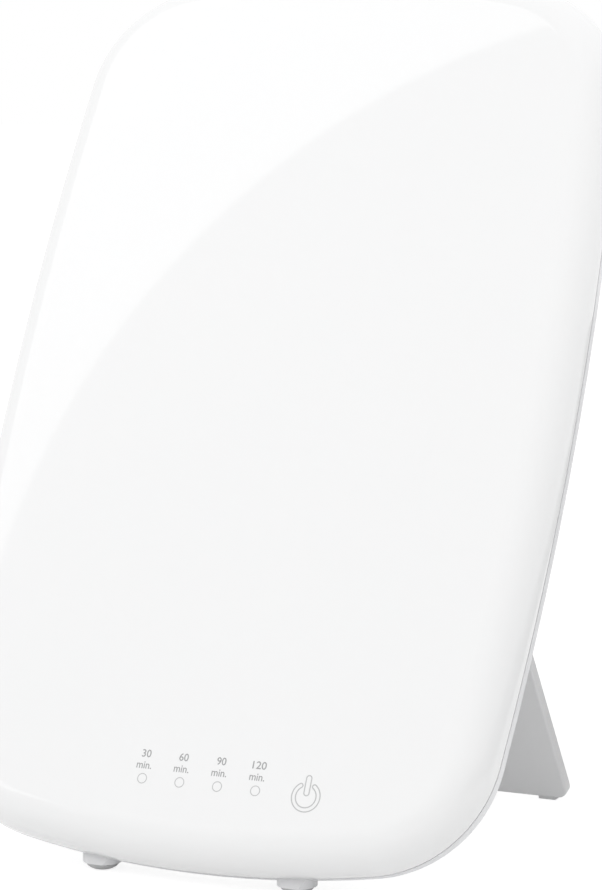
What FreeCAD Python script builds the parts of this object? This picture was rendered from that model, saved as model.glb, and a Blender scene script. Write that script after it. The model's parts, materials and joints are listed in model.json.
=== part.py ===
import FreeCAD, Part
import math
import os

# A light therapy lamp: a leaning one-piece luminous panel with a fold-out stand.
# Each piece is drawn in the panel's own frame: X across, Y from the front face towards
# the back, Z up the panel from its middle. The stand is drawn folded into the back.
# The stand is then opened, and everything is leaned back and set on the floor, Z = 0.

V = FreeCAD.Vector

# Panel outline: bowed sides and ends joined by large corners.
height = 260.0
width = 168.0
side_radius = 1100.0
end_radius = 294.0
corner_radius = 35.0

# Housing section.
depth = 24.0
front_depth = 11.0
front_roll = 10.0
rear_roll = 12.0
wall = 2.0
seam_gap = 0.6
seam_inset = 0.9
lean = 27.0

# General fits.
clearance = 0.5
side_gap = 0.4
running_fit = 0.05
floor_gap = 0.4

# Light engine, stacked from the inside of the front cover.
diffuser_thick = 0.8
guide_thick = 3.0
reflector_thick = 0.4
guide_side_room = 22.0
guide_top_room = 21.0
guide_bottom_room = 32.0
led_line_thick = 0.8
led_board_thick = 1.0
rail_thick = 1.2
rail_flange = 6.0
rail_margin = 4.0

# Inner frame.
frame_thick = 1.5
rim_inset = 3.4
rim_width = 1.6
upper_screw_side = 28.0
upper_screw_end = 34.0
lower_screw_side = 24.0
lower_screw_end = 75.0
post_radius = 3.5
post_top = 14.0

# Front controls: four timer lights and a touch key on one line near the bottom.
control_z = 21.0 - height / 2
timer_first_x = -14.2
timer_pitch = 10.9
timer_count = 4
power_x = 33.0
control_board_x = (-22.0, 43.0)
control_board_half = 7.5
control_board_thick = 1.0
timer_hole = 2.4
timer_chip = 3.0
electrode_radius = 4.5

# Main board. Places on it are measured from its left and lower edges.
board_wide = 84.0
board_tall = 52.0
board_post_room = 5.5
board_end_room = 30.0
board_thick = 1.6
board_standoff = 2.0
board_corner = 4.5
capacitor_spots = [(23.0, 42.0), (34.0, 42.0)]
inductor_spot = (55.0, 16.0)
chip_spot = (31.0, 14.0)
chip_size = (6.0, 5.0)
header_spot = (42.0, 2.5)
header_size = (10.0, 3.5)
jack_spot = (11.0, 22.0)

# Power inlet in a plug well in the back.
plug_well_radius = 6.5
plug_well_depth = 5.0
jack_nose_radius = 4.0
jack_bore_radius = 2.8
jack_pin_radius = 1.0

# Case screws.
screw_head_radius = 2.8
screw_head_height = 1.8
screw_radius = 1.25
screw_length = 12.0
counterbore = 3.0

# Rubber feet under the front of the housing.
foot_x = 28.5
foot_y = 17.2
foot_height = 3.0
foot_radius = 4.8
foot_head = 2.0
foot_flat = 1.6
foot_stem = 2.0
boss_radius = 5.3

# Stand: a tapered plate on a barrel hinge.
barrel_sink = 0.4
hinge_z = 27.0
barrel_radius = 3.6
plate_thick = 4.0
plate_reach = 145.6
pad_proud = 1.4
plate_top_half = 36.0
plate_bottom_half = 60.0
plate_corner = 3.0
plate_shoulder = 6.5
plate_edge = 0.8
heel_reach = 5.8
heel_thick = 2.4
heel_half = 15.0
extra_opening = 10.0
pad_x = 53.0
pad_width = 5.0
pad_thick = 3.0
pad_root = 6.0
hinge_pin_radius = 1.5
hinge_pin_head = 1.9
sleeve_outer = 2.3
sleeve_length = 12.0
sleeve_slot = 1.0
cheek = 4.0
notch_half = 13.0

# Heights in the stack, measured from the front face.
guide_y = wall + diffuser_thick
reflector_y = guide_y + guide_thick
frame_y = reflector_y + reflector_thick
frame_back = frame_y + frame_thick
seam_back = front_depth + seam_gap
board_y = frame_back + board_standoff
board_back = board_y + board_thick
rim_back = depth - rear_roll
back_inner = depth - wall
hinge_y = depth - barrel_sink - barrel_radius
plate_front = hinge_y + barrel_radius - plate_thick
pocket_floor = plate_front - floor_gap
well_floor = depth - plug_well_depth

# Places that follow from the panel's size and from each other.
guide_half = width / 2 - guide_side_room
guide_top = height / 2 - guide_top_room
guide_bottom = guide_bottom_room - height / 2
case_screw_spots = [
    (width / 2 - upper_screw_side, height / 2 - upper_screw_end),
    (width / 2 - lower_screw_side, lower_screw_end - height / 2),
]
board_left = post_radius + board_post_room - case_screw_spots[0][0]
board_x = (board_left, board_left + board_wide)
board_z = (height / 2 - board_end_room - board_tall, height / 2 - board_end_room)
jack_x = board_x[0] + jack_spot[0]
jack_z = board_z[0] + jack_spot[1]
pad_reach = plate_reach + pad_proud


def box(x0, x1, y0, y1, z0, z1):
    return Part.makeBox(x1 - x0, y1 - y0, z1 - z0, V(x0, y0, z0))


def rod(radius, x, z, y0, y1):
    return Part.makeCylinder(radius, y1 - y0, V(x, y0, z), V(0, 1, 0))


def cross_rod(radius, x0, x1):
    # A rod along the hinge axis.
    return Part.makeCylinder(radius, x1 - x0, V(x0, hinge_y, hinge_z), V(1, 0, 0))


def mirrored(shape):
    return shape.mirror(V(0, 0, 0), V(1, 0, 0))


def edges_at(shape, y):
    # All edges that lie in the plane at depth y.
    found = []
    for edge in shape.Edges:
        bounds = edge.BoundBox
        if abs(bounds.YMin - y) < 1e-4 and abs(bounds.YMax - y) < 1e-4:
            found.append(edge)
    return found


def corner_centre():
    # Centre of the corner arc that is tangent to the side arc and to the end arc.
    side = width / 2 - side_radius
    end = height / 2 - end_radius
    a = side_radius - corner_radius
    b = end_radius - corner_radius
    span = math.hypot(side, end)
    along = (a * a - b * b + span * span) / (2 * span)
    across = math.sqrt(a * a - along * along)
    ux = -side / span
    uz = end / span
    return side + ux * along - uz * across, uz * along + ux * across


corner_x, corner_z = corner_centre()
side_angle = math.atan2(corner_z, corner_x - width / 2 + side_radius)
end_angle = math.atan2(corner_z - height / 2 + end_radius, corner_x)


def arc(x, z, radius, start, end, y):
    points = []
    for angle in (start, (start + end) / 2, end):
        points.append(V(x + radius * math.cos(angle), y, z + radius * math.sin(angle)))
    return Part.Arc(*points).toShape()


def panel_face(inset, y):
    # The panel outline moved inwards by inset, as a face at depth y.
    side = width / 2 - side_radius
    end = height / 2 - end_radius
    turn = math.pi
    side_r = side_radius - inset
    end_r = end_radius - inset
    corner_r = corner_radius - inset
    edges = [
        arc(side, 0, side_r, -side_angle, side_angle, y),
        arc(corner_x, corner_z, corner_r, side_angle, end_angle, y),
        arc(0, end, end_r, end_angle, turn - end_angle, y),
        arc(-corner_x, corner_z, corner_r, turn - end_angle, turn - side_angle, y),
        arc(-side, 0, side_r, turn - side_angle, turn + side_angle, y),
        arc(-corner_x, -corner_z, corner_r, turn + side_angle, turn + end_angle, y),
        arc(0, -end, end_r, turn + end_angle, 2 * turn - end_angle, y),
        arc(corner_x, -corner_z, corner_r, 2 * turn - end_angle, 2 * turn - side_angle, y),
    ]
    return Part.Face(Part.Wire(edges))


def panel_block(inset, y0, y1):
    return panel_face(inset, y0).extrude(V(0, y1 - y0, 0))


def rolled_block(inset, y0, y1, roll, rolled_y):
    # A panel block with the edge at depth rolled_y rounded over.
    block = panel_block(inset, y0, y1)
    return block.makeFillet(roll, edges_at(block, rolled_y))


def panel_ring(outer, inner, y0, y1):
    return panel_block(outer, y0, y1).cut(panel_block(inner, y0, y1))


def plate_half(z):
    # Half the width of the folded stand plate at height z.
    share = (hinge_z - z) / plate_reach
    return plate_top_half + (plate_bottom_half - plate_top_half) * share


def tapered_block(grow, z0, z1, y0, y1, corner):
    # The stand plate's outline between heights z0 and z1, grown sideways, as a block.
    slope = (plate_bottom_half - plate_top_half) / plate_reach
    side = grow * math.hypot(1, slope)
    low = plate_half(z0) + side
    high = plate_half(z1) + side
    points = [V(-low, y0, z0), V(low, y0, z0), V(high, y0, z1), V(-high, y0, z1)]
    block = Part.Face(Part.makePolygon(points + points[:1])).extrude(V(0, y1 - y0, 0))
    bottom = []
    for edge in block.Edges:
        bounds = edge.BoundBox
        if bounds.YLength > 0.9 * (y1 - y0) and bounds.ZMax < z0 + 1e-3:
            bottom.append(edge)
    return block.makeFillet(corner, bottom)


# Standing frame: the panel leaned back, its middle above the line X = Y = 0.
lean_sin = math.sin(math.radians(lean))
lean_cos = math.cos(math.radians(lean))
foot_drop = end_radius - math.sqrt(end_radius ** 2 - foot_x ** 2)
foot_arc = math.sqrt((rear_roll + foot_height) ** 2 - (foot_y - rim_back) ** 2)
foot_z = rear_roll - height / 2 + foot_drop - foot_arc
centre_height = foot_y * lean_sin - foot_z * lean_cos


def standing_point(x, y, z):
    return V(x, y * lean_cos + z * lean_sin, centre_height - y * lean_sin + z * lean_cos)


def lean_matrix():
    matrix = FreeCAD.Matrix()
    matrix.rotateX(-math.radians(lean))
    matrix.move(V(0, 0, centre_height))
    return matrix


hinge_point = standing_point(0, hinge_y, hinge_z)

# The stand's tilt at which the middle of the pads just touches the floor.
pad_middle = barrel_radius - plate_thick / 2
pad_span = math.hypot(pad_reach, pad_middle)
stand_tilt = math.degrees(math.acos(hinge_point.z / pad_span) - math.atan2(pad_middle, pad_reach))
rest_opening = lean + stand_tilt
full_opening = rest_opening + extra_opening

# The hinge well is deep enough for the heel at full opening, where it is the stop.
heel_sweep = heel_reach * math.sin(math.radians(full_opening))
heel_sweep += heel_thick / 2 * math.cos(math.radians(full_opening))
hinge_floor = hinge_y - heel_sweep - 0.3
hinge_well_top = hinge_z + math.hypot(heel_reach, heel_thick / 2) + clearance
hinge_well_bottom = hinge_z - barrel_radius - 2 * clearance
pocket_bottom = hinge_z - pad_reach - 2 * clearance


def foot_spot(x):
    return standing_point(x, foot_y, foot_z)


def foot_boss(x):
    # The socket that carries a rubber foot, upright when the lamp stands.
    spot = foot_spot(x)
    tube = Part.makeCylinder(boss_radius, 5.0, V(x, spot.y, foot_head))
    tube.transformShape(lean_matrix().inverse())
    return tube.cut(box(-width, width, -1, rim_back, -height, height))


def foot_bore(x):
    spot = foot_spot(x)
    hole = Part.makeCylinder(foot_stem, 8.0, V(x, spot.y, 0))
    hole.transformShape(lean_matrix().inverse())
    return hole


def front_cover():
    outer = rolled_block(0, 0, front_depth, front_roll, 0)
    inner = rolled_block(wall, wall, front_depth + 1, front_roll - wall, wall)
    return outer.cut(inner)


def stand_pocket(grow):
    # The space for the folded stand: a shallow tapered tray and a deeper hinge well.
    tray = tapered_block(
        side_gap + grow, pocket_bottom - grow, hinge_z, pocket_floor - grow, depth + 1, plate_corner
    )
    half = plate_top_half + side_gap + grow
    well = box(
        -half, half, hinge_floor - grow, depth + 1, hinge_well_bottom - grow, hinge_well_top + grow
    )
    return tray.fuse(well)


def finger_notch(grow):
    # The scoop below the plate where a fingertip lifts it out.
    half = notch_half + grow
    return box(-half, half, pocket_floor - grow, depth + 1, -height / 2 - 1, pocket_bottom + 4)


def rear_cover():
    outer = rolled_block(0, seam_back, depth, rear_roll, depth)
    inner = rolled_block(wall, seam_back - 1, back_inner, rear_roll - wall, back_inner)
    shell = outer.cut(inner)
    inside = [stand_pocket(wall), finger_notch(wall)]
    for side in (-1, 1):
        x0 = plate_top_half + side_gap
        ear = box(x0, x0 + cheek, hinge_floor - wall, depth, hinge_z - 8, hinge_well_top + wall)
        inside.append(ear if side > 0 else mirrored(ear))
        for x, z in case_screw_spots:
            inside.append(rod(post_radius + 1, side * x, z, post_top, depth))
    inside.append(rod(plug_well_radius + wall, jack_x, jack_z, well_floor - wall, depth))
    for piece in inside:
        shell = shell.fuse(piece.common(outer))
    for side in (-1, 1):
        shell = shell.fuse(foot_boss(side * foot_x))
    shell = shell.cut(stand_pocket(0))
    shell = shell.cut(finger_notch(0))
    for side in (-1, 1):
        shell = shell.cut(foot_bore(side * foot_x))
        for x, z in case_screw_spots:
            shell = shell.cut(rod(screw_head_radius + side_gap, side * x, z, depth - counterbore, depth + 1))
            shell = shell.cut(rod(screw_radius + side_gap, side * x, z, 0, depth))
    reach = plate_top_half + side_gap + cheek
    shell = shell.cut(cross_rod(hinge_pin_radius, -reach, reach))
    shell = shell.cut(rod(plug_well_radius, jack_x, jack_z, well_floor, depth + 1))
    shell = shell.cut(rod(jack_nose_radius + 0.1, jack_x, jack_z, well_floor - wall - 1, depth))
    return shell.removeSplitter()


def inner_frame():
    # The tray between the covers: it carries the light engine in front and the boards behind.
    frame = panel_block(rim_inset, frame_y, frame_back)
    rim = rim_inset + rim_width
    frame = frame.fuse(panel_ring(rim_inset, rim, frame_y, rim_back))
    frame = frame.fuse(panel_ring(wall, rim, front_roll, rim_back))
    frame = frame.fuse(panel_ring(seam_inset, rim, front_depth, seam_back))
    for side in (-1, 1):
        for x, z in case_screw_spots:
            frame = frame.fuse(rod(post_radius, side * x, z, frame_y, post_top))
            frame = frame.cut(rod(screw_radius, side * x, z, frame_back + 0.6, post_top))
    for x, z in board_corners():
        frame = frame.fuse(rod(3.0, x, z, frame_y, board_y))
        frame = frame.cut(rod(1.0, x, z, frame_back - 0.5, board_y))
    frame = frame.cut(cable_window())
    return frame.removeSplitter()


def diffuser_sheet():
    sheet = panel_block(front_roll + 0.2, wall, guide_y)
    return sheet.common(box(-width, width, 0, depth, guide_bottom, height))


def guide_block(y0, y1):
    return box(-guide_half, guide_half, y0, y1, guide_bottom, guide_top)


def led_line():
    x0 = guide_half
    x1 = x0 + led_line_thick
    low = guide_bottom + rail_margin
    return box(x0, x1, guide_y + 0.8, reflector_y - 0.8, low, guide_top - rail_margin)


def led_board():
    x0 = guide_half + led_line_thick
    low = guide_bottom + rail_margin
    return box(x0, x0 + led_board_thick, guide_y + 0.1, frame_y, low, guide_top - rail_margin)


def heat_rail():
    x0 = guide_half + led_line_thick + led_board_thick
    x1 = x0 + rail_thick
    low = guide_bottom + rail_margin
    high = guide_top - rail_margin
    leg = box(x0, x1, guide_y + 0.1, frame_y, low, high)
    flange = box(x1, x1 + rail_flange, frame_y - rail_thick, frame_y, low, high)
    return leg.fuse(flange).removeSplitter()


control_front = frame_y - control_board_thick


def control_board():
    z0 = control_z - control_board_half
    z1 = control_z + control_board_half
    return box(control_board_x[0], control_board_x[1], control_front, frame_y, z0, z1)


def timer_x(index):
    return timer_first_x + index * timer_pitch


def light_baffle():
    # The block with a well round each timer light, so that none lights its neighbour.
    z0 = control_z - control_board_half
    z1 = control_z + control_board_half
    block = box(control_board_x[0], control_board_x[1], wall, control_front, z0, z1)
    for index in range(timer_count):
        block = block.cut(rod(timer_hole, timer_x(index), control_z, wall, control_front))
    return block.cut(rod(electrode_radius + clearance, power_x, control_z, wall, control_front))


def timer_light(index):
    half = timer_chip / 2
    x = timer_x(index)
    return box(x - half, x + half, control_front - 1, control_front, control_z - half, control_z + half)


def touch_electrode():
    ring = rod(electrode_radius, power_x, control_z, wall, control_front)
    return ring.cut(rod(electrode_radius - 0.6, power_x, control_z, wall + 0.6, control_front))


def board_corners():
    spots = []
    for x in (board_x[0] + board_corner, board_x[1] - board_corner):
        for z in (board_z[0] + board_corner, board_z[1] - board_corner):
            spots.append((x, z))
    return spots


def main_board():
    board = box(board_x[0], board_x[1], board_y, board_back, board_z[0], board_z[1])
    for x, z in board_corners():
        board = board.cut(rod(1.2, x, z, board_y, board_back))
    return board


def board_screw(x, z):
    head = rod(2.2, x, z, board_back, board_back + 1.4)
    return head.fuse(rod(1.0, x, z, frame_back, board_back)).removeSplitter()


def capacitor(spot):
    can = rod(4.0, board_x[0] + spot[0], board_z[0] + spot[1], board_back, board_back + 8.5)
    return can.makeFillet(0.6, edges_at(can, board_back + 8.5))


def inductor():
    x = board_x[0] + inductor_spot[0]
    z = board_z[0] + inductor_spot[1]
    core = rod(5.5, x, z, board_back, board_back + 5)
    groove = rod(5.5, x, z, board_back + 1.2, board_back + 3.8)
    groove = groove.cut(rod(4.0, x, z, board_back, board_back + 5))
    return core.cut(groove)


def on_board(spot, size, tall):
    # A block on the back of the main board.
    x = board_x[0] + spot[0]
    z = board_z[0] + spot[1]
    return box(x, x + size[0], board_back, board_back + tall, z, z + size[1])


def driver_chip():
    return on_board(chip_spot, chip_size, 1.5)


def cable_header():
    return on_board(header_spot, header_size, 3)


def dc_jack():
    top = well_floor - wall
    body = box(jack_x - 4.5, jack_x + 4.5, board_back, top, jack_z - 5.5, jack_z + 5.5)
    body = body.fuse(rod(jack_nose_radius, jack_x, jack_z, board_back, well_floor))
    return body.cut(rod(jack_bore_radius, jack_x, jack_z, board_back + 1, well_floor)).removeSplitter()


def dc_jack_pin():
    return rod(jack_pin_radius, jack_x, jack_z, board_back + 1, well_floor - 0.6)


# The flat cable lies on the back of the inner frame, from below the main board's edge
# down to a window behind the control board, and turns forward there.
cable_x = 6.0
cable_half = 4.0
cable_thick = 0.3
cable_low = control_z + control_board_half - 4
cable_high = board_z[0] + 1.6


def cable_window():
    half = cable_half + clearance
    return box(
        cable_x - half, cable_x + half, frame_y, frame_back, cable_low - clearance, cable_low + 1.2
    )


def flat_cable():
    x0 = cable_x - cable_half
    x1 = cable_x + cable_half
    run = box(x0, x1, frame_back, frame_back + cable_thick, cable_low, cable_high)
    drop = box(x0, x1, frame_y, frame_back + cable_thick, cable_low, cable_low + cable_thick)
    rise = box(x0, x1, frame_back, board_y, cable_high - cable_thick, cable_high)
    return run.fuse(drop).fuse(rise).removeSplitter()


def case_screw(x, z):
    seat = depth - counterbore
    head = rod(screw_head_radius, x, z, seat, seat + screw_head_height)
    head = head.makeFillet(0.5, edges_at(head, seat + screw_head_height))
    return head.fuse(rod(screw_radius, x, z, seat - screw_length, seat)).removeSplitter()


def hinge_pin():
    x0 = plate_top_half + side_gap
    pin = cross_rod(hinge_pin_radius, plate_top_half - sleeve_length + 1, x0 + cheek)
    return pin.fuse(cross_rod(hinge_pin_head, x0 + cheek, x0 + cheek + 1)).removeSplitter()


def foot(x):
    # A domed rubber button with a small flat where it stands and a stem in the boss.
    spot = foot_spot(x)
    reach = foot_radius - foot_flat
    bend = (reach ** 2 + foot_head ** 2) / (2 * foot_head)
    half = math.asin(reach / bend) / 2
    middle = V(foot_flat + bend * math.sin(half), 0, bend * (1 - math.cos(half)))
    dome = Part.Arc(V(foot_flat, 0, 0), middle, V(foot_radius, 0, foot_head)).toShape()
    corners = [
        V(foot_radius, 0, foot_head),
        V(foot_stem, 0, foot_head),
        V(foot_stem, 0, 6),
        V(0, 0, 6),
        V(0, 0, 0),
        V(foot_flat, 0, 0),
    ]
    sides = Part.makePolygon(corners).Edges
    profile = Part.Face(Part.Wire([dome] + sides))
    button = profile.revolve(V(0, 0, 0), V(0, 0, 1), 360)
    button.translate(V(x, spot.y, 0))
    return button


def pad_block(grow):
    # A pad let into the plate's lower edge, before its tip is trimmed to the floor.
    middle = hinge_y + pad_middle
    half = pad_thick / 2
    x0 = pad_x - pad_width / 2
    low = hinge_z - pad_reach - grow
    return box(x0, x0 + pad_width, middle - half, middle + half, low, hinge_z - pad_reach + pad_root)


def stand_plate():
    low = hinge_z - plate_reach
    plate = tapered_block(0, low, hinge_z, plate_front, plate_front + plate_thick, plate_corner)
    rim = edges_at(plate, plate_front) + edges_at(plate, plate_front + plate_thick)
    plate = plate.makeFillet(plate_edge, [edge for edge in rim if edge.BoundBox.ZMin < hinge_z - 1])
    # Square shoulders beside the barrel let the plate turn between the ears.
    shoulder = cross_rod(plate_shoulder, plate_top_half, plate_bottom_half)
    plate = plate.cut(shoulder).cut(mirrored(shoulder))
    plate = plate.fuse(cross_rod(barrel_radius, -plate_top_half, plate_top_half))
    top = hinge_z + heel_reach
    heel = box(
        -heel_half, heel_half, hinge_y - heel_thick / 2, hinge_y + heel_thick / 2, hinge_z, top
    )
    plate = plate.fuse(heel)
    for side in (-1, 1):
        bore = cross_rod(sleeve_outer, plate_top_half - sleeve_length, plate_top_half)
        slot = pad_block(2)
        plate = plate.cut(bore if side > 0 else mirrored(bore))
        plate = plate.cut(slot if side > 0 else mirrored(slot))
    return plate.removeSplitter()


def friction_sleeve():
    # A slotted spring sleeve, pressed into the barrel, that grips the hinge pin.
    x0 = plate_top_half - sleeve_length
    sleeve = cross_rod(sleeve_outer, x0, plate_top_half)
    sleeve = sleeve.cut(cross_rod(hinge_pin_radius + running_fit, x0, plate_top_half))
    half = sleeve_slot / 2
    return sleeve.cut(
        box(x0, plate_top_half, hinge_y - half, hinge_y + half, hinge_z - sleeve_outer, hinge_z)
    )


def opened(shape):
    shape.rotate(V(0, hinge_y, hinge_z), V(1, 0, 0), rest_opening)
    return shape


def leaned(shape):
    shape.transformShape(lean_matrix())
    return shape


def trimmed_to_floor(shape):
    room = Part.makeBox(2 * height, 2 * height, height, V(-height, -height, 0))
    return shape.common(room)


def housing_pieces():
    # Housing pieces in the panel frame, by name.
    pieces = {
        "front_cover": front_cover(),
        "rear_cover": rear_cover(),
        "inner_frame": inner_frame(),
        "diffuser_sheet": diffuser_sheet(),
        "light_guide": guide_block(guide_y, reflector_y),
        "reflector_sheet": guide_block(reflector_y, frame_y),
        "control_board": control_board(),
        "light_baffle": light_baffle(),
        "touch_electrode": touch_electrode(),
        "main_board": main_board(),
        "capacitor_1": capacitor(capacitor_spots[0]),
        "capacitor_2": capacitor(capacitor_spots[1]),
        "inductor": inductor(),
        "driver_chip": driver_chip(),
        "cable_header": cable_header(),
        "dc_jack": dc_jack(),
        "dc_jack_pin": dc_jack_pin(),
        "flat_cable": flat_cable(),
    }
    paired = {
        "led_line": led_line(),
        "led_board": led_board(),
        "heat_rail": heat_rail(),
        "hinge_pin": hinge_pin(),
    }
    for name, shape in paired.items():
        pieces[name + "_right"] = shape
        pieces[name + "_left"] = mirrored(shape)
    for index in range(timer_count):
        pieces["timer_light_%d" % (index + 1)] = timer_light(index)
    for index, (x, z) in enumerate(board_corners()):
        pieces["board_screw_%d" % (index + 1)] = board_screw(x, z)
    for index, (x, z) in enumerate(case_screw_spots):
        pieces["case_screw_%d" % (2 * index + 1)] = case_screw(x, z)
        pieces["case_screw_%d" % (2 * index + 2)] = case_screw(-x, z)
    return pieces


def build():
    # Every piece in the standing frame, by name.
    pieces = {}
    for name, shape in housing_pieces().items():
        pieces[name] = leaned(shape)
    pieces["foot_right"] = foot(foot_x)
    pieces["foot_left"] = foot(-foot_x)
    pieces["stand_plate"] = leaned(opened(stand_plate()))
    for name, side in (("right", 1), ("left", -1)):
        sleeve = friction_sleeve()
        pad = pad_block(2)
        if side < 0:
            sleeve = mirrored(sleeve)
            pad = mirrored(pad)
        pieces["friction_sleeve_" + name] = leaned(opened(sleeve))
        pieces["stand_pad_" + name] = trimmed_to_floor(leaned(opened(pad)))
    return pieces


def main():
    os.makedirs("parts", exist_ok=True)
    pieces = build()
    bounds = FreeCAD.BoundBox()
    for shape in pieces.values():
        bounds.add(shape.BoundBox)
    shift = -(bounds.YMin + bounds.YMax) / 2
    for name in sorted(pieces):
        shape = pieces[name]
        shape.translate(V(0, shift, 0))
        shape.exportStep("parts/%s.step" % name)
        state = "valid" if shape.isValid() else "NOT VALID"
        print(name, len(shape.Solids), "solid", round(shape.Volume, 1), state)
    print("box", round(bounds.XLength, 2), round(bounds.YLength, 2), round(bounds.ZLength, 2))
    print("lowest point", round(bounds.ZMin, 4), "shift in Y", round(shift, 3))
    print("hinge", round(hinge_point.y + shift, 3), round(hinge_point.z, 3))
    print("opening at rest", round(rest_opening, 2), "at the stop", round(full_opening, 2))
    inlet = standing_point(jack_x, well_floor, jack_z)
    print("inlet", round(inlet.x, 2), round(inlet.y + shift, 3), round(inlet.z, 3))
    pads = pieces["stand_pad_right"].BoundBox
    print("feet", foot_x, round(foot_spot(0).y + shift, 3))
    print("pads", pad_x, round(pads.YMin, 3), round(pads.YMax, 3))
    print("panel middle", round(shift, 3), round(centre_height, 3))


main()
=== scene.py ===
import json

import bmesh
import bpy
import numpy as np
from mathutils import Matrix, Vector


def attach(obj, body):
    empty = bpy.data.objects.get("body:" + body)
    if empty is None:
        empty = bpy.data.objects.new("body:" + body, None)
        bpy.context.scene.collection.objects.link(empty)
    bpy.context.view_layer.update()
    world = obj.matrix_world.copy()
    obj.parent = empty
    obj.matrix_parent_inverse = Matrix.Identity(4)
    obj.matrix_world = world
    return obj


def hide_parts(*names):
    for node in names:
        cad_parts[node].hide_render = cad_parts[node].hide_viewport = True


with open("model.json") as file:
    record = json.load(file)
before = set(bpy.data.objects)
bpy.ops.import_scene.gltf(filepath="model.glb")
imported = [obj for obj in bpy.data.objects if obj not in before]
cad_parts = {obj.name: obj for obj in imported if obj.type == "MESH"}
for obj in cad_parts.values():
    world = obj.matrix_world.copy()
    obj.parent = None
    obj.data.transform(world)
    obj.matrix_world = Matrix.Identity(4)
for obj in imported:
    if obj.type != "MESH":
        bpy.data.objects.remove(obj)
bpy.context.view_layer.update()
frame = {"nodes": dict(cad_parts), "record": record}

nodes = frame["nodes"]
scene = bpy.context.scene
mm = 0.001
print("frame loaded,", len(nodes), "solids")

# The panel leans back, and its own axes are x across, y in from the face and z up the face.
panel = {
    "lean": np.radians(27.0),
    "middle": (0.0, -11.866, 124.250),
    "halfWidth": 84.0,
    "halfHeight": 130.0,
    "sideRadius": 1100.0,
    "endRadius": 294.0,
    "cornerRadius": 35.0,
}


def onPanel(points):
    # Panel millimetres to metres in the room: a turn about x by the lean, then a shift to the face's middle.
    x, y, z = np.asarray(points, float).reshape(-1, 3).T
    c, s = np.cos(panel["lean"]), np.sin(panel["lean"])
    placed = np.stack([x, y * c + z * s, z * c - y * s], 1) + np.array(panel["middle"])
    return placed * mm


def solidMesh(name, points, faces, sharpAngle=40.0):
    # Rows of points in metres and corner lists make a mesh whose faces point outwards: where the volume, the
    # sum of the corners' triple products, is negative, all faces are turned round.
    points = np.asarray(points, float)
    fan = np.array([(f[0], f[k], f[k + 1]) for f in faces for k in range(1, len(f) - 1)])
    a, b, c = points[fan[:, 0]], points[fan[:, 1]], points[fan[:, 2]]
    if np.einsum("ij,ij->i", a - points[0], np.cross(b - points[0], c - points[0])).sum() < 0:
        faces = [tuple(reversed(f)) for f in faces]
    mesh = bpy.data.meshes.new(name)
    mesh.from_pydata(points.tolist(), [], faces)
    mesh.validate()
    mesh.polygons.foreach_set("use_smooth", np.ones(len(mesh.polygons), bool))
    mesh.set_sharp_from_angle(angle=np.radians(sharpAngle))
    piece = bpy.data.objects.new(name, mesh)
    scene.collection.objects.link(piece)
    return piece


def ringFaces(rings, count, closed=False):
    # Quads between neighbouring rings of count points, each ring closed on itself. On a closed tube the last
    # ring also joins the first.
    i, j = np.meshgrid(np.arange(rings if closed else rings - 1), np.arange(count), indexing="ij")
    n, k = (i + 1) % rings, (j + 1) % count
    quads = np.stack([i * count + j, i * count + k, n * count + k, n * count + j], -1)
    return [tuple(q) for q in quads.reshape(-1, 4).tolist()]


def poleFaces(rings, count):
    # Triangles that close the first and the last ring in the two middle points that follow all rings.
    pole, last = rings * count, (rings - 1) * count
    first = [(pole, (j + 1) % count, j) for j in range(count)]
    return first + [(pole + 1, last + j, last + (j + 1) % count) for j in range(count)]


def circleMeet(a, ra, b, rb):
    # The crossing of two circles on the left of the way from a to b: along it, then square to it.
    a, b = np.array(a), np.array(b)
    d = np.linalg.norm(b - a)
    u = (b - a) / d
    along = (ra * ra - rb * rb + d * d) / (2 * d)
    return a + along * u + np.sqrt(ra * ra - along * along) * np.array([-u[1], u[0]])


def panelArcs():
    # Centres of the side's, the end's and the corner's arc, and the normal angles where the side ends and the
    # end starts. The corner's centre is where the two large circles, each less the corner's radius, cross.
    side = np.array([panel["halfWidth"] - panel["sideRadius"], 0.0])
    end = np.array([0.0, panel["halfHeight"] - panel["endRadius"]])
    corner = circleMeet(side, panel["sideRadius"] - panel["cornerRadius"],
                        end, panel["endRadius"] - panel["cornerRadius"])
    return {"side": side, "end": end, "corner": corner,
            "sideEnds": np.arctan2(corner[1], corner[0] - side[0]),
            "endStarts": np.arctan2(corner[1] - end[1], corner[0])}


arcs = panelArcs()


def panelOutline(angles, inset):
    # A point for each normal angle: arc centre + (radius - inset) (cos, sin), with the arc picked by the angle
    # (side, corner or end) and the quadrant by the signs. A column of insets gives a ring for each.
    c, s = np.cos(angles), np.sin(angles)
    folded = np.arctan2(np.abs(s), np.abs(c))
    side, end = folded < arcs["sideEnds"], folded > arcs["endStarts"]
    radius = np.where(side, panel["sideRadius"], np.where(end, panel["endRadius"], panel["cornerRadius"]))
    middle = np.where(side[:, None], arcs["side"], np.where(end[:, None], arcs["end"], arcs["corner"]))
    x = np.sign(c) * (middle[:, 0] + (radius - inset) * np.abs(c))
    z = np.sign(s) * (middle[:, 1] + (radius - inset) * np.abs(s))
    return x, z


# Front cover
frontCover = {"roll": 10.0, "wall": 2.0, "depth": 11.0, "flatEdge": 0.6, "innerRing": 20.0, "rollSteps": 18,
              "sideSteps": 20, "cornerSteps": 40, "endSteps": 14}


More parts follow.
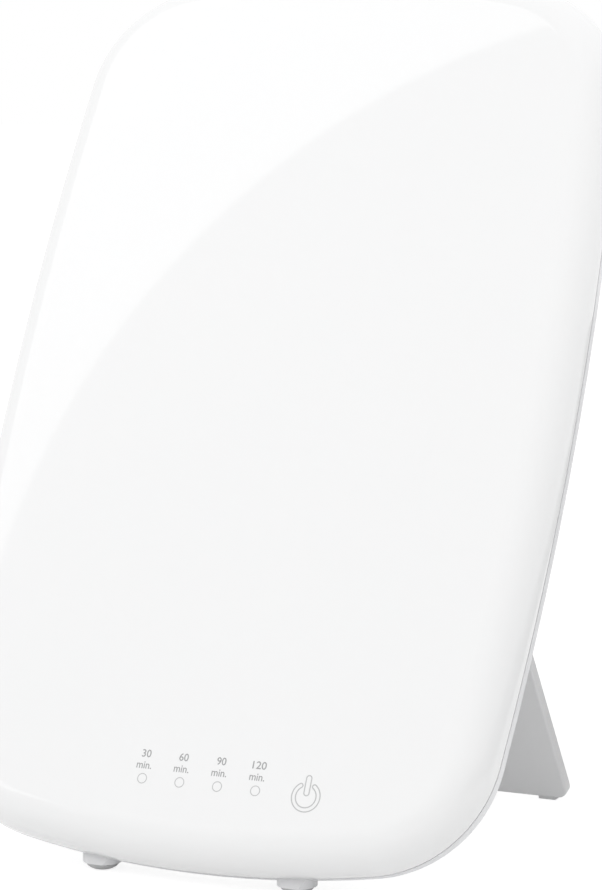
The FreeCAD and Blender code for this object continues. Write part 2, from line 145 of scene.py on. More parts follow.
def frontShell(name, look):
    # One profile of inset and depth is carried round the outline: flat face, quarter circle, rim, and the same
    # inside by one wall. Both flat sides close in a middle point.
    sideEnds, endStarts = arcs["sideEnds"], arcs["endStarts"]
    quarter = np.concatenate([
        np.linspace(0, sideEnds, look["sideSteps"], endpoint=False)[1:],
        np.linspace(sideEnds, endStarts, look["cornerSteps"], endpoint=False),
        np.linspace(endStarts, np.pi / 2, look["endSteps"], endpoint=False),
    ])
    angles = np.concatenate([quarter, np.pi - quarter[::-1], np.pi + quarter, 2 * np.pi - quarter[::-1]])
    bend = np.linspace(0, np.pi / 2, look["rollSteps"])
    r, w, d = look["roll"], look["wall"], look["depth"]
    edge, ring = r + look["flatEdge"], r + look["innerRing"]
    outer = np.stack([r - r * np.sin(bend), r - r * np.cos(bend)], 1)
    inner = np.stack([r - (r - w) * np.sin(bend), r - (r - w) * np.cos(bend)], 1)[::-1]
    profile = np.concatenate([[[ring, 0], [edge, 0]], outer, [[0, d], [w, d]], inner, [[edge, w], [ring, w]]])
    x, z = panelOutline(angles, profile[:, :1])
    rings = np.stack([x, np.broadcast_to(profile[:, 1:], x.shape), z], -1).reshape(-1, 3)
    points = np.concatenate([rings, [[0, 0, 0], [0, w, 0]]])
    faces = ringFaces(len(profile), len(angles)) + poleFaces(len(profile), len(angles))
    return solidMesh(name, onPanel(points), faces)


cover = frontShell("front_shell", frontCover)
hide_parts("front_cover")
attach(cover, "housing")
print("front cover made,", len(cover.data.polygons), "faces")

# Printed row on the face
prints = {"line": 0.22, "rise": 0.03, "sink": 0.005, "row": -109.1, "first": -13.65, "step": 10.92,
          "ringRadius": 1.28, "numbers": ("30", "60", "90", "120"), "numberUp": 6.75, "numberTall": 2.05,
          "numberWide": 1.32, "numberShift": -0.1, "wordUp": 3.6, "wordTall": 1.9, "wordWide": 4.3,
          "wordShift": -0.2, "letterSwell": 0.006}
powerSign = {"x": 33.45, "z": -109.2, "line": 0.3, "outer": 3.95, "inner": 2.85, "gap": np.radians(34.0),
             "barHalf": 0.72, "barFrom": 0.3, "barTo": 5.6}
printed = []


def strokeLoop(name, path, width):
    # A closed flat line: the path (x, z) moved by half the width along its normal to both sides, just under the
    # face and raised by the print's thickness.
    rise, sink = prints["rise"], prints["sink"]
    path = np.asarray(path, float)
    tangent = np.roll(path, -1, 0) - np.roll(path, 1, 0)
    tangent /= np.linalg.norm(tangent, axis=1)[:, None]
    normal = np.stack([tangent[:, 1], -tangent[:, 0]], 1) * width / 2
    sides = []
    for sign, depth in ((1, sink), (1, -rise), (-1, -rise), (-1, sink)):
        edge = path + sign * normal
        sides.append(np.stack([edge[:, 0], np.full(len(path), depth), edge[:, 1]], 1))
    points = np.stack(sides, 1).reshape(-1, 3)
    return solidMesh(name, onPanel(points), ringFaces(len(path), 4, closed=True), 30)


def capsulePath(x, low, high, half, steps=24):
    # Two half circles, centre + half (cos, sin), joined by straight sides.
    turn = np.linspace(0, np.pi, steps)
    top = np.stack([x + half * np.cos(turn), high - half + half * np.sin(turn)], 1)
    bottom = np.stack([x - half * np.cos(turn), low + half - half * np.sin(turn)], 1)
    return np.concatenate([top, bottom])


def openRingPath(x, z, inner, outer, gap, steps=72, capSteps=14):
    # Centre + radius (cos, sin): outer arc one way, a half circle round its end, inner arc back, a half circle.
    mid, half = (inner + outer) / 2, (outer - inner) / 2
    start, stop = np.pi / 2 + gap, np.pi / 2 - gap + 2 * np.pi
    sweep = np.linspace(start, stop, steps)
    turn = np.linspace(0, np.pi, capSteps)[1:-1]

    def arc(radius, angles):
        return np.stack([x + radius * np.cos(angles), z + radius * np.sin(angles)], 1)

    def cap(angle, sign):
        out = np.array([np.cos(angle), np.sin(angle)])
        side = np.array([-np.sin(angle), np.cos(angle)])
        halfCircle = np.cos(turn)[:, None] * out + np.sin(turn)[:, None] * side
        return np.array([x, z]) + mid * out + sign * half * halfCircle

    return np.concatenate([arc(outer, sweep), cap(stop, 1), arc(inner, sweep[::-1]), cap(start, -1)])


def printedWord(name, words, x, z, wide, tall):
    # Outline letters made a mesh and set on the face: each point is the middle + its share of the letters' own
    # box times the wanted width and height, and its share of their thickness times the print's.
    letters = bpy.data.curves.new(name, "FONT")
    letters.body = words
    letters.extrude = 0.5
    letters.resolution_u = 6
    letters.offset = prints["letterSwell"]
    holder = bpy.data.objects.new(name + "_draft", letters)
    scene.collection.objects.link(holder)
    bpy.context.view_layer.update()
    mesh = bpy.data.meshes.new_from_object(holder.evaluated_get(bpy.context.evaluated_depsgraph_get()))
    bpy.data.objects.remove(holder)
    form = bmesh.new()
    form.from_mesh(mesh)
    bmesh.ops.remove_doubles(form, verts=form.verts, dist=1e-5)
    bmesh.ops.recalc_face_normals(form, faces=form.faces)
    form.to_mesh(mesh)
    form.free()
    points = np.empty(len(mesh.vertices) * 3)
    mesh.vertices.foreach_get("co", points)
    points = points.reshape(-1, 3)
    low, high = points.min(0), points.max(0)
    share = (points - (low + high) / 2) / (high - low)
    out = -(0.5 + share[:, 2]) * prints["rise"]
    placed = np.stack([x + share[:, 0] * wide, out, z + share[:, 1] * tall], 1)
    mesh.vertices.foreach_set("co", onPanel(placed).ravel())
    mesh.update()
    mesh.name = name
    piece = bpy.data.objects.new(name, mesh)
    scene.collection.objects.link(piece)
    return piece


for index, number in enumerate(prints["numbers"]):
    x = prints["first"] + index * prints["step"]
    around = np.linspace(0, 2 * np.pi, 64, endpoint=False)
    circle = np.stack([x + prints["ringRadius"] * np.cos(around),
                       prints["row"] + prints["ringRadius"] * np.sin(around)], 1)
    printed.append(strokeLoop("timer_ring_%d" % (index + 1), circle, prints["line"]))
    printed.append(printedWord("timer_number_%d" % (index + 1), number, x + prints["numberShift"],
                               prints["row"] + prints["numberUp"], prints["numberWide"] * len(number),
                               prints["numberTall"]))
    printed.append(printedWord("timer_word_%d" % (index + 1), "min.", x + prints["wordShift"],
                               prints["row"] + prints["wordUp"], prints["wordWide"], prints["wordTall"]))
ringLine = openRingPath(powerSign["x"], powerSign["z"], powerSign["inner"], powerSign["outer"],
                        powerSign["gap"])
printed.append(strokeLoop("power_ring", ringLine, powerSign["line"]))
barLine = capsulePath(powerSign["x"], powerSign["z"] + powerSign["barFrom"],
                      powerSign["z"] + powerSign["barTo"], powerSign["barHalf"])
printed.append(strokeLoop("power_bar", barLine, powerSign["line"]))
for piece in printed:
    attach(piece, "housing")
print("printed row made,", len(printed), "pieces")

# Case screws with a cross recess
caseScrew = {"spots": ((56.0, 96.0), (-56.0, 96.0), (60.0, -55.0), (-60.0, -55.0)), "seat": 21.0, "tall": 1.8,
             "radius": 2.8, "shank": 1.25, "tip": 0.9, "tipTall": 0.5, "length": 12.0,
             "dome": ((2.1, 0.0), (2.45, 0.03), (2.65, 0.12), (2.75, 0.28), (2.8, 0.5)), "slotHalf": 0.32,
             "slotReach": 1.55, "slotDeep": 1.1, "slotSoft": 0.1, "slotEnd": 0.25, "slotTaper": 0.35,
             "slotRings": 22, "turnSteps": 96}


def crossScrew(name, x, z, look):
    # A turned profile of radius and depth. On the head's top the depth also falls by the recess: a smooth step
    # of the distance to two crossed bars that gets shallower towards their ends.
    reach, soft = look["slotReach"], look["slotSoft"]
    top, end = look["seat"] + look["tall"], look["seat"] - look["length"]
    flat = [(r, top) for r in np.linspace(0.02, reach + 0.15, look["slotRings"])]
    dome = [(r, top - drop) for r, drop in look["dome"]]
    shank = [(look["radius"], look["seat"]), (look["shank"], look["seat"]),
             (look["shank"], end + look["tipTall"]), (look["tip"], end), (0.05, end)]
    radii, depth = np.array(flat + dome + shank).T
    turn = np.linspace(0, 2 * np.pi, look["turnSteps"], endpoint=False)
    r, a = np.meshgrid(radii, turn, indexing="ij")
    across = np.minimum(np.abs(r * np.cos(a)), np.abs(r * np.sin(a)))
    wall = np.clip((look["slotHalf"] + soft - across) / (2 * soft), 0, 1)
    ends = np.clip((reach - r) / look["slotEnd"], 0, 1)
    sink = look["slotDeep"] * wall * ends * (1 - look["slotTaper"] * r / reach)
    y = depth[:, None] - np.where(np.arange(len(radii))[:, None] < look["slotRings"], sink, 0)
    rings = np.stack([x + r * np.cos(a), y, z + r * np.sin(a)], -1).reshape(-1, 3)
    points = np.concatenate([rings, [[x, top - look["slotDeep"], z], [x, end, z]]])
    faces = ringFaces(len(radii), len(turn)) + poleFaces(len(radii), len(turn))
    return solidMesh(name, onPanel(points), faces, 35)


screws = []
for index, (x, z) in enumerate(caseScrew["spots"]):
    screw = crossScrew("cross_screw_%d" % (index + 1), x, z, caseScrew)
    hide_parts("case_screw_%d" % (index + 1))
    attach(screw, "housing")
    screws.append(screw)
print("case screws made")


# Shader groups give out only colours, masks and values.
def put(tree, kind, sockets=None, **settings):
    # One shader node with its settings and the values of its sockets.
    node = tree.nodes.new("ShaderNode" + kind)
    for key, value in settings.items():
        setattr(node, key, value)
    for key, value in (sockets or {}).items():
        node.inputs[key].default_value = value
    return node


def newGroup(name, inputs, outputs):
    # A group with named sockets and its two end nodes.
    group = bpy.data.node_groups.new(name, "ShaderNodeTree")
    for label, kind, value in inputs:
        socket = group.interface.new_socket(label, in_out="INPUT", socket_type="NodeSocket" + kind)
        if value is not None:
            socket.default_value = value
    for label, kind in outputs:
        group.interface.new_socket(label, in_out="OUTPUT", socket_type="NodeSocket" + kind)
    return group, group.nodes.new("NodeGroupInput"), group.nodes.new("NodeGroupOutput")


def maths(tree, operation, first, second=0.0):
    # The operation on two values, each a number or another node's socket.
    node = put(tree, "Math", operation=operation)
    for slot, value in enumerate((first, second)):
        if isinstance(value, (int, float)):
            node.inputs[slot].default_value = value
        else:
            tree.links.new(value, node.inputs[slot])
    return node.outputs[0]


def makeMouldedSurface():
    # Colour drifts between two tones by a wide noise and a quarter of the grain. The grain is a fine noise
    # plus the distance in small cells: it is the height too, and less a half, times the spread, it varies
    # the roughness.
    group, start, end = newGroup("mouldedSurface", [
        ("Vector", "Vector", None), ("Light", "Color", (0.8, 0.8, 0.8, 1)),
        ("Dark", "Color", (0.7, 0.7, 0.7, 1)), ("Rough", "Float", 0.4), ("Spread", "Float", 0.08),
        ("Scale", "Float", 1500.0), ("Drift", "Float", 18.0),
    ], [("Color", "Color"), ("Roughness", "Float"), ("Height", "Float")])
    link = group.links.new
    wide = put(group, "TexNoise", {"Detail": 3.0, "Roughness": 0.55})
    fine = put(group, "TexNoise", {"Detail": 5.0, "Roughness": 0.6})
    cells = put(group, "TexVoronoi", feature="SMOOTH_F1")
    link(start.outputs["Vector"], wide.inputs["Vector"])
    link(start.outputs["Drift"], wide.inputs["Scale"])
    for texture in (fine, cells):
        link(start.outputs["Vector"], texture.inputs["Vector"])
        link(start.outputs["Scale"], texture.inputs["Scale"])
    grain = maths(group, "ADD", maths(group, "MULTIPLY", fine.outputs["Fac"], 0.6),
                  maths(group, "MULTIPLY", cells.outputs["Distance"], 0.4))
    toneAt = maths(group, "ADD", maths(group, "MULTIPLY", wide.outputs["Fac"], 0.75),
                   maths(group, "MULTIPLY", grain, 0.25))
    tone = put(group, "Mix", data_type="RGBA")
    link(toneAt, tone.inputs["Factor"])
    link(start.outputs["Light"], tone.inputs[6])
    link(start.outputs["Dark"], tone.inputs[7])
    rough = maths(group, "ADD", start.outputs["Rough"],
                  maths(group, "MULTIPLY", maths(group, "SUBTRACT", grain, 0.5), start.outputs["Spread"]))
    link(tone.outputs[2], end.inputs["Color"])
    link(rough, end.inputs["Roughness"])
    link(grain, end.inputs["Height"])
    return group


def makeDrawnLines():
    # Noise of the place times a stretch for each axis: the fine lines that rolling or drawing leaves.
    group, start, end = newGroup("drawnLines", [
        ("Vector", "Vector", None), ("Stretch", "Vector", (1.0, 60.0, 60.0)), ("Scale", "Float", 60.0),
    ], [("Lines", "Float")])
    spread = put(group, "VectorMath", operation="MULTIPLY")
    noise = put(group, "TexNoise", {"Detail": 4.0, "Roughness": 0.65})
    link = group.links.new
    link(start.outputs["Vector"], spread.inputs[0])
    link(start.outputs["Stretch"], spread.inputs[1])
    link(spread.outputs[0], noise.inputs["Vector"])
    link(start.outputs["Scale"], noise.inputs["Scale"])
    link(noise.outputs["Fac"], end.inputs["Lines"])
    return group


def makeDotRows():
    # Dots on a square grid: the distance to the middle of the grid's cell against a radius.
    group, start, end = newGroup("dotRows", [
        ("Vector", "Vector", None), ("Pitch", "Float", 2.0 * mm), ("Radius", "Float", 0.3),
    ], [("Mask", "Float")])
    link = group.links.new
    split = put(group, "SeparateXYZ")
    link(start.outputs["Vector"], split.inputs[0])
    cell = []
    for axis in ("X", "Z"):
        along = maths(group, "DIVIDE", split.outputs[axis], start.outputs["Pitch"])
        cell.append(maths(group, "POWER", maths(group, "SUBTRACT", maths(group, "FRACT", along), 0.5), 2.0))
    distance = maths(group, "SQRT", maths(group, "ADD", cell[0], cell[1]))
    soft = put(group, "MapRange", {"From Min": 0.0, "From Max": 0.08})
    link(maths(group, "SUBTRACT", start.outputs["Radius"], distance), soft.inputs["Value"])
    link(soft.outputs[0], end.inputs["Mask"])
    return group


def makeStripes():
    # Parallel bands: the fraction of the place over the pitch against the share that a band takes.
    group, start, end = newGroup("evenStripes", [
        ("Along", "Float", 0.0), ("Pitch", "Float", 1.0 * mm), ("Share", "Float", 0.5),
    ], [("Mask", "Float")])
    fraction = maths(group, "FRACT", maths(group, "DIVIDE", start.outputs["Along"], start.outputs["Pitch"]))
    mask = maths(group, "LESS_THAN", fraction, start.outputs["Share"])
    group.links.new(mask, end.inputs["Mask"])
    return group


groups = {"surface": makeMouldedSurface(), "lines": makeDrawnLines(), "dots": makeDotRows(),
          "stripes": makeStripes()}
print("shader groups made")

# Finishes: one for each material slot, two inks and the paler rubber of the stand's pads. Scale is the grain's,
# in grains to the metre, and drift that of the wide tone.
finishes = {
    "opal_cover": {"light": (0.866, 0.867, 0.868), "dark": (0.846, 0.848, 0.85), "rough": 0.025,
                   "spread": 0.012, "scale": 320, "bump": 0.004, "drift": 9},
    "print_ink": {"light": (0.31, 0.312, 0.315), "dark": (0.39, 0.392, 0.395), "rough": 0.4, "spread": 0.1,
                  "scale": 4000, "bump": 0.05},
    "pale_ink": {"light": (0.46, 0.462, 0.465), "dark": (0.54, 0.542, 0.545), "rough": 0.4, "spread": 0.1,
                 "scale": 4000, "bump": 0.05},
    "white_shell": {"light": (0.80, 0.80, 0.81), "dark": (0.765, 0.768, 0.78), "rough": 0.36, "spread": 0.14,
                    "scale": 2600, "bump": 0.22},
    "white_frame": {"light": (0.60, 0.60, 0.61), "dark": (0.55, 0.55, 0.56), "rough": 0.5, "spread": 0.12,
                    "scale": 2000, "bump": 0.2},
    "diffuser": {"light": (0.9, 0.9, 0.9), "dark": (0.86, 0.86, 0.86), "rough": 0.7, "spread": 0.1,
                 "scale": 3500, "bump": 0.12},
    "guide": {"light": (0.82, 0.86, 0.88), "dark": (0.78, 0.83, 0.86), "rough": 0.08, "spread": 0.05,
              "scale": 400, "bump": 0.02, "pattern": "dots"},
    "reflector": {"light": (0.93, 0.93, 0.93), "dark": (0.89, 0.89, 0.9), "rough": 0.55, "spread": 0.1,
                  "scale": 1800, "bump": 0.06},
    "baffle": {"light": (0.85, 0.85, 0.83), "dark": (0.8, 0.8, 0.78), "rough": 0.55, "spread": 0.1,
               "scale": 1800, "bump": 0.12},
    "grey_stand": {"light": (0.87, 0.872, 0.875), "dark": (0.84, 0.842, 0.845), "rough": 0.42, "spread": 0.16,
                   "scale": 2200, "bump": 0.24},
    "cable": {"light": (0.82, 0.82, 0.78), "dark": (0.74, 0.74, 0.7), "rough": 0.4, "spread": 0.08,
              "scale": 900, "bump": 0.08, "pattern": "ribbon"},
    "black_plastic": {"light": (0.03, 0.03, 0.032), "dark": (0.018, 0.018, 0.02), "rough": 0.38,
                      "spread": 0.16, "scale": 2400, "bump": 0.16},
    "header": {"light": (0.78, 0.72, 0.55), "dark": (0.7, 0.63, 0.46), "rough": 0.42, "spread": 0.1,
               "scale": 2200, "bump": 0.1},
    "contact": {"light": (0.78, 0.76, 0.7), "dark": (0.66, 0.62, 0.54), "rough": 0.26, "spread": 0.16,
                "scale": 1200, "bump": 0.05, "metal": 1.0, "pattern": "drawn"},
    "ferrite": {"light": (0.085, 0.085, 0.09), "dark": (0.045, 0.045, 0.05), "rough": 0.72, "spread": 0.2,
                "scale": 1800, "bump": 0.3, "pattern": "winding"},
    "chip": {"light": (0.04, 0.04, 0.045), "dark": (0.025, 0.025, 0.03), "rough": 0.5, "spread": 0.2,
             "scale": 3000, "bump": 0.18},
    "phosphor": {"light": (0.9, 0.78, 0.28), "dark": (0.84, 0.66, 0.16), "rough": 0.45, "spread": 0.15,
                 "scale": 3000, "bump": 0.1, "pattern": "lamps"},
    "led_board": {"light": (0.82, 0.82, 0.79), "dark": (0.77, 0.77, 0.74), "rough": 0.4, "spread": 0.1,
                  "scale": 1500, "bump": 0.06, "pattern": "pads"},
    "aluminium": {"light": (0.72, 0.73, 0.75), "dark": (0.58, 0.59, 0.61), "rough": 0.34, "spread": 0.16,
                  "scale": 900, "bump": 0.05, "metal": 1.0, "pattern": "drawn"},
    "steel": {"light": (0.62, 0.62, 0.63), "dark": (0.5, 0.5, 0.52), "rough": 0.3, "spread": 0.16,
              "scale": 1600, "bump": 0.06, "metal": 1.0, "pattern": "drawn"},
    "spring_steel": {"light": (0.42, 0.42, 0.45), "dark": (0.3, 0.3, 0.33), "rough": 0.36, "spread": 0.2,
                     "scale": 1500, "bump": 0.06, "metal": 1.0, "pattern": "drawn"},
    "screw_steel": {"light": (0.56, 0.56, 0.58), "dark": (0.42, 0.42, 0.44), "rough": 0.32, "spread": 0.2,
                    "scale": 1400, "bump": 0.08, "metal": 1.0},
    "rubber": {"light": (0.60, 0.602, 0.606), "dark": (0.52, 0.522, 0.526), "rough": 0.68, "spread": 0.2,
               "scale": 2600, "bump": 0.3},
    "pale_rubber": {"light": (0.84, 0.842, 0.846), "dark": (0.78, 0.782, 0.786), "rough": 0.68, "spread": 0.2,
                    "scale": 2600, "bump": 0.3},
    "timer_light": {"light": (0.85, 0.86, 0.84), "dark": (0.76, 0.77, 0.74), "rough": 0.2, "spread": 0.08,
                    "scale": 1400, "bump": 0.04},
    "capacitor": {"light": (0.05, 0.06, 0.12), "dark": (0.03, 0.035, 0.08), "rough": 0.3, "spread": 0.1,
                  "scale": 1300, "bump": 0.05, "pattern": "sleeve"},
    "circuit_board": {"light": (0.02, 0.16, 0.06), "dark": (0.012, 0.1, 0.035), "rough": 0.36, "spread": 0.12,
                      "scale": 1500, "bump": 0.06, "pattern": "traces"},
}


# Patterns laid over a finish. Pitches and brick sizes are in millimetres, size is a dot's radius or a
# stripe's width as a share of the pitch, over is the colour there, and rough is how much the roughness
# changes with the mask.
patterns = {
    "dots": [{"mask": "dots", "pitch": 1.6, "size": 0.26, "over": (0.93, 0.93, 0.93), "rough": 0.4}],
    "ribbon": [{"mask": "stripes", "axis": "X", "pitch": 1.27, "size": 0.62, "over": (0.66, 0.64, 0.6),
                "raised": True}],
    "drawn": [{"mask": "lines", "stretch": (1.0, 40.0, 2.0), "scale": 90.0, "rough": 0.3, "middle": 0.5,
               "raised": True}],
    "winding": [{"mask": "stripes", "axis": "Z", "pitch": 0.5, "size": 0.5, "raised": True}],
    "lamps": [{"mask": "stripes", "axis": "Z", "pitch": 4.0, "size": 0.18, "over": (0.85, 0.84, 0.8)}],
    "pads": [{"mask": "dots", "pitch": 4.0, "size": 0.16, "over": (0.62, 0.6, 0.55)}],
    "sleeve": [{"mask": "stripes", "axis": "X", "pitch": 40.0, "size": 0.045, "over": (0.6, 0.62, 0.64)}],
    "traces": [{"mask": "bricks", "wide": 5.5, "tall": 1.1, "gap": 0.12, "over": (0.05, 0.3, 0.12),
                "raised": True},
               {"mask": "dots", "pitch": 3.3, "size": 0.12, "over": (0.65, 0.63, 0.58)}],
}


def grouped(tree, key, **sockets):
    # A shader group placed in a material with its own values.
    node = tree.nodes.new("ShaderNodeGroup")
    node.node_tree = groups[key]
    for name, value in sockets.items():
        node.inputs[name].default_value = value
    return node


def blendColour(tree, mask, under, over):
    # The colour below, turned to the one above by the mask.
    node = put(tree, "Mix", data_type="RGBA")
    tree.links.new(mask, node.inputs["Factor"])
    tree.links.new(under, node.inputs[6])
    node.inputs[7].default_value = (*over, 1)
    return node.outputs[2]


def patternMask(tree, layer, place, axes):
    # Where a layer lies: stripes along one axis, the gaps of a brick grid across x and z, dots or drawn lines.
    if layer["mask"] == "stripes":
        node = grouped(tree, "stripes", Pitch=layer["pitch"] * mm, Share=layer["size"])
        tree.links.new(axes.outputs[layer["axis"]], node.inputs["Along"])
        return node.outputs[0]
    if layer["mask"] == "bricks":
        node = put(tree, "TexBrick", {"Scale": 1.0, "Mortar Size": layer["gap"] * mm, "Mortar Smooth": 0.2,
                                      "Brick Width": layer["wide"] * mm, "Row Height": layer["tall"] * mm})
        flat = put(tree, "CombineXYZ")
        tree.links.new(axes.outputs["X"], flat.inputs[0])
        tree.links.new(axes.outputs["Z"], flat.inputs[1])
        tree.links.new(flat.outputs[0], node.inputs["Vector"])
        return node.outputs["Fac"]
    if layer["mask"] == "dots":
        node = grouped(tree, "dots", Pitch=layer["pitch"] * mm, Radius=layer["size"])
    else:
        node = grouped(tree, "lines", Stretch=layer["stretch"], Scale=layer["scale"])
    tree.links.new(place, node.inputs["Vector"])
    return node.outputs[0]


def makeFinish(name, look):
    # Two-tone drift, varying roughness and fine relief from the surface group, then the layers of its pattern.
    # The place is the object's own, turned and shifted to the panel's axes: the inverse of onPanel.
    material = bpy.data.materials.new(name)
    material.use_nodes = True
    tree = material.node_tree
    link = tree.links.new
    shader = tree.nodes["Principled BSDF"]
    shader.inputs["Metallic"].default_value = look.get("metal", 0.0)
    shader.inputs["IOR"].default_value = 1.49
    source = put(tree, "TexCoord")
    c, s = np.cos(panel["lean"]), np.sin(panel["lean"])
    y, z = panel["middle"][1] * mm, panel["middle"][2] * mm
    turned = put(tree, "Mapping", {"Rotation": (panel["lean"], 0, 0),
                                   "Location": (0, z * s - y * c, -y * s - z * c)})
    link(source.outputs["Object"], turned.inputs["Vector"])
    place = turned.outputs[0]
    axes = put(tree, "SeparateXYZ")
    link(place, axes.inputs[0])
    surface = grouped(tree, "surface", Light=(*look["light"], 1), Dark=(*look["dark"], 1), Rough=look["rough"],
                      Spread=look["spread"], Scale=look["scale"], Drift=look.get("drift", 30))
    link(place, surface.inputs["Vector"])
    colour, rough, height = surface.outputs
    for layer in patterns.get(look.get("pattern"), ()):
        mask = patternMask(tree, layer, place, axes)
        if "over" in layer:
            colour = blendColour(tree, mask, colour, layer["over"])
        if "rough" in layer:
            past = maths(tree, "SUBTRACT", mask, layer.get("middle", 0.0))
            rough = maths(tree, "ADD", rough, maths(tree, "MULTIPLY", past, layer["rough"]))
        if layer.get("raised"):
            height = maths(tree, "ADD", height, mask)
    bump = put(tree, "Bump", {"Strength": look["bump"], "Distance": 0.1 * mm})
    link(height, bump.inputs["Height"])
    link(colour, shader.inputs["Base Color"])
    link(rough, shader.inputs["Roughness"])
    link(bump.outputs[0], shader.inputs["Normal"])
    return material


materials = {name: makeFinish(name, look) for name, look in finishes.items()}
slotOf = {part["node"]: part["material_slot"] for part in frame["record"]["subparts"]}
for name, solid in nodes.items():
    # the stand's pads are nearly as pale as its plate
    finish = materials["pale_rubber" if name.startswith("stand_pad") else slotOf[name]]
    if not solid.material_slots:
        solid.data.materials.append(finish)
    for slot in solid.material_slots:
        slot.material = finish
cover.data.materials.append(materials["opal_cover"])
for piece in printed:
    piece.data.materials.clear()
    outlined = "ring" in piece.name or "bar" in piece.name
    piece.data.materials.append(materials["pale_ink" if outlined else "print_ink"])
for screw in screws:
    screw.data.materials.append(materials["screw_steel"])
print("finishes set,", len(materials))

# Floor and world
stageLook = {"floorHalf": 6.0, "floorGlow": 0.86, "floorTone": 0.3, "floorBounce": 0.84, "ambient": 0.95}


def flatPiece(name, points, faces, finish):
    # A mesh from corner points and faces, as they are, with one material.
    mesh = bpy.data.meshes.new(name)
    mesh.from_pydata(points, [], faces)
    mesh.materials.append(finish)
    piece = bpy.data.objects.new(name, mesh)
    scene.collection.objects.link(piece)
    return piece


def bareFinish(name):
    # A material with nothing in it but its output.
    finish = bpy.data.materials.new(name)
    finish.use_nodes = True
    finish.node_tree.nodes.clear()
    return finish, finish.node_tree, put(finish.node_tree, "OutputMaterial")


def plainFloor(name, look):
    # A square at height zero. Camera and glossy rays see a glow plus a shaded tone, which is white and keeps
    # the object's shadow, and other rays see a plain bounce. From below it isn't there.
    finish, tree, out = bareFinish("paleFloor")
    path = put(tree, "LightPath")
    glow = put(tree, "Emission", {"Color": (1, 1, 1, 1), "Strength": look["floorGlow"]})
    tone = put(tree, "BsdfDiffuse", {"Color": (*[look["floorTone"]] * 3, 1)})
    bounce = put(tree, "BsdfDiffuse", {"Color": (*[look["floorBounce"]] * 3, 1)})
    seen = put(tree, "AddShader")
    above = put(tree, "MixShader")
    either = put(tree, "MixShader")
    direct = maths(tree, "MAXIMUM", path.outputs["Is Camera Ray"], path.outputs["Is Glossy Ray"])
    for source, target in (
            (glow.outputs[0], seen.inputs[0]), (tone.outputs[0], seen.inputs[1]), (direct, above.inputs[0]),
            (bounce.outputs[0], above.inputs[1]), (seen.outputs[0], above.inputs[2]),
            (put(tree, "NewGeometry").outputs["Backfacing"], either.inputs[0]),
            (above.outputs[0], either.inputs[1]), (put(tree, "BsdfTransparent").outputs[0], either.inputs[2]),
            (either.outputs[0], out.inputs["Surface"])):
        tree.links.new(source, target)
    half = look["floorHalf"]
    corners = [(-half, -half, 0), (half, -half, 0), (half, half, 0), (-half, half, 0)]
    return flatPiece(name, corners, [(0, 1, 2, 3)], finish)


def paleWorld(name, look):
    # The room shines with the ambient strength, and camera, glossy and transmission rays see plain white.
    world = bpy.data.worlds.new(name)
    world.use_nodes = True
    tree = world.node_tree
    path = put(tree, "LightPath")
    direct = maths(tree, "MAXIMUM", path.outputs["Is Camera Ray"], path.outputs["Is Glossy Ray"])
    direct = maths(tree, "MAXIMUM", direct, path.outputs["Is Transmission Ray"])
    level = put(tree, "MapRange", {"To Min": look["ambient"], "To Max": 1.0})
    sky = tree.nodes["Background"]
    sky.inputs["Color"].default_value = (1, 1, 1, 1)
    tree.links.new(direct, level.inputs["Value"])
    tree.links.new(level.outputs[0], sky.inputs["Strength"])
    return world


floor = plainFloor("floor", stageLook)
scene.world = paleWorld("paleRoom", stageLook)

# Soft lamps
lamps = {
    "key": {"towards": (-0.36, -0.52, 0.78), "away": 1.25, "size": 0.9, "watts": 2.5},
    "side": {"towards": (0.75, -0.10, 0.65), "away": 2.2, "size": 1.4, "watts": 4.0},
    "rim": {"towards": (0.45, 0.80, 0.40), "away": 2.4, "size": 1.6, "watts": 5.0},
}
lampAim = Vector((0, 0.01, 0.12))
for name, look in lamps.items():
    lampData = bpy.data.lights.new(name, "AREA")
    lampData.shape = "DISK"
    lampData.size = look["size"]
    lampData.energy = look["watts"]
    lamp = bpy.data.objects.new(name, lampData)
    lamp.location = lampAim + Vector(look["towards"]).normalized() * look["away"]
    lamp.rotation_euler = (lampAim - lamp.location).to_track_quat("-Z", "Y").to_euler()
    lamp.visible_glossy = False
    scene.collection.objects.link(lamp)

# Bright card that only reflections see: its inner edge is the curved edge of the reflection on the face.
reflectionCard = {"middle": (-0.6635, -1.0277, 1.1672), "across": (-0.83724, 0.54684, 0.0),
                  "upwards": (0.35647, 0.54577, 0.75833), "ringMiddle": (-0.4896, -0.1024),
                  "ringRadius": 0.6537, "width": 0.9, "fromTurn": -45.0, "toTurn": 50.5, "steps": 120,
                  "strength": 2.2}


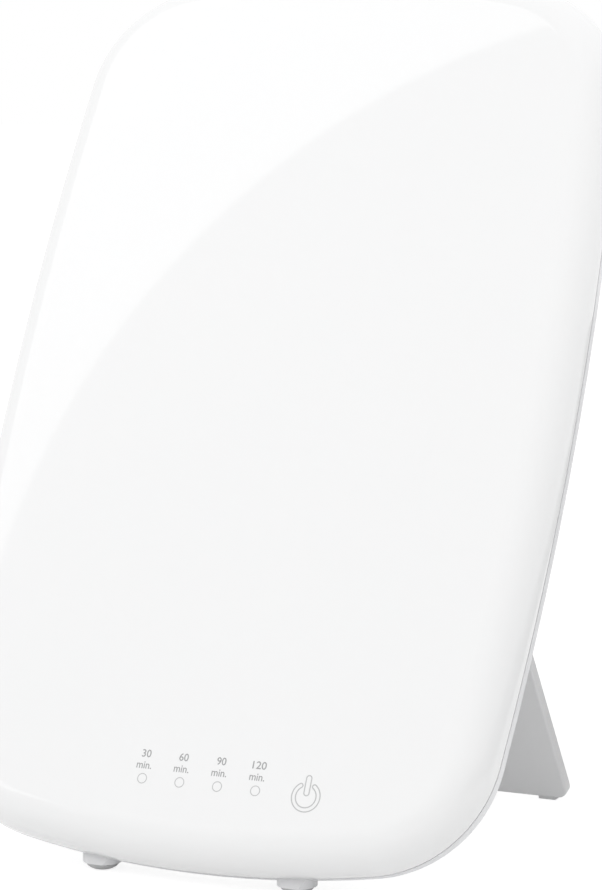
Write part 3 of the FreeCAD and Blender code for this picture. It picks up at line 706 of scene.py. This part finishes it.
def brightCard(name, look):
    # A part of a ring in the card's plane: middle + across e + upwards g, where (e, g) is the ring's middle +
    # radius (cos, sin), with the radius from the circle outwards and the turn from the side to the top.
    count = look["steps"] + 1
    turns = np.radians(np.linspace(look["fromTurn"], look["toTurn"], count))
    out, turn = np.meshgrid(np.linspace(0, 1, 3), turns, indexing="ij")
    radius = look["ringRadius"] + out * look["width"]
    e = look["ringMiddle"][0] + radius * np.cos(turn)
    g = look["ringMiddle"][1] + radius * np.sin(turn)
    points = (np.array(look["middle"]) + e[..., None] * np.array(look["across"])
              + g[..., None] * np.array(look["upwards"])).reshape(-1, 3)
    i, j = np.meshgrid(np.arange(2), np.arange(look["steps"]), indexing="ij")
    start = i * count + j
    quads = np.stack([start, start + 1, start + count + 1, start + count], -1).reshape(-1, 4)
    finish, tree, end = bareFinish(name)
    lit = put(tree, "Emission", {"Strength": look["strength"]})
    tree.links.new(lit.outputs[0], end.inputs["Surface"])
    card = flatPiece(name, points.tolist(), quads.tolist(), finish)
    card.visible_camera = False
    card.visible_diffuse = False
    card.visible_shadow = False
    card.visible_transmission = False
    return card


card = brightCard("bright_card", reflectionCard)

# Upright dark flags to the right of the lamp: a low one far off, and one close to the stand's side edge.
darkFlags = {
    "far_flag": {"x": 0.27, "front": -0.20, "back": 0.60, "tall": 0.07, "tone": 0.5},
    "near_flag": {"x": 0.11, "front": 0.05, "back": 0.22, "tall": 0.14, "tone": 0.45},
}


def uprightFlag(name, look):
    # A rectangle across x from the front to the back, standing just clear of the floor.
    low, tall = 0.001, look["tall"]
    corners = ((look["front"], low), (look["back"], low), (look["back"], tall), (look["front"], tall))
    finish = bpy.data.materials.new(name)
    finish.use_nodes = True
    shader = finish.node_tree.nodes["Principled BSDF"]
    shader.inputs["Base Color"].default_value = (*[look["tone"]] * 3, 1)
    shader.inputs["Roughness"].default_value = 0.9
    flag = flatPiece(name, [(look["x"], y, z) for y, z in corners], [(0, 3, 2, 1)], finish)
    flag.visible_camera = False
    return flag


flags = [uprightFlag(name, look) for name, look in darkFlags.items()]
print("floor, world and lamps set")

# Camera
view ={"place": (0.355822, -0.764397, 0.219327), "down": 7.498, "turn": 24.725, "lens": 125.49}
cameraData = bpy.data.cameras.new("camera")
cameraData.lens = view["lens"]
cameraData.sensor_width = 36.0
cameraData.clip_start = 0.01
camera = bpy.data.objects.new("camera", cameraData)
camera.location = view["place"]
camera.rotation_euler = np.radians((90 - view["down"], 0, view["turn"])).tolist()
scene.collection.objects.link(camera)
scene.camera = camera
scene.view_settings.view_transform = "Standard"
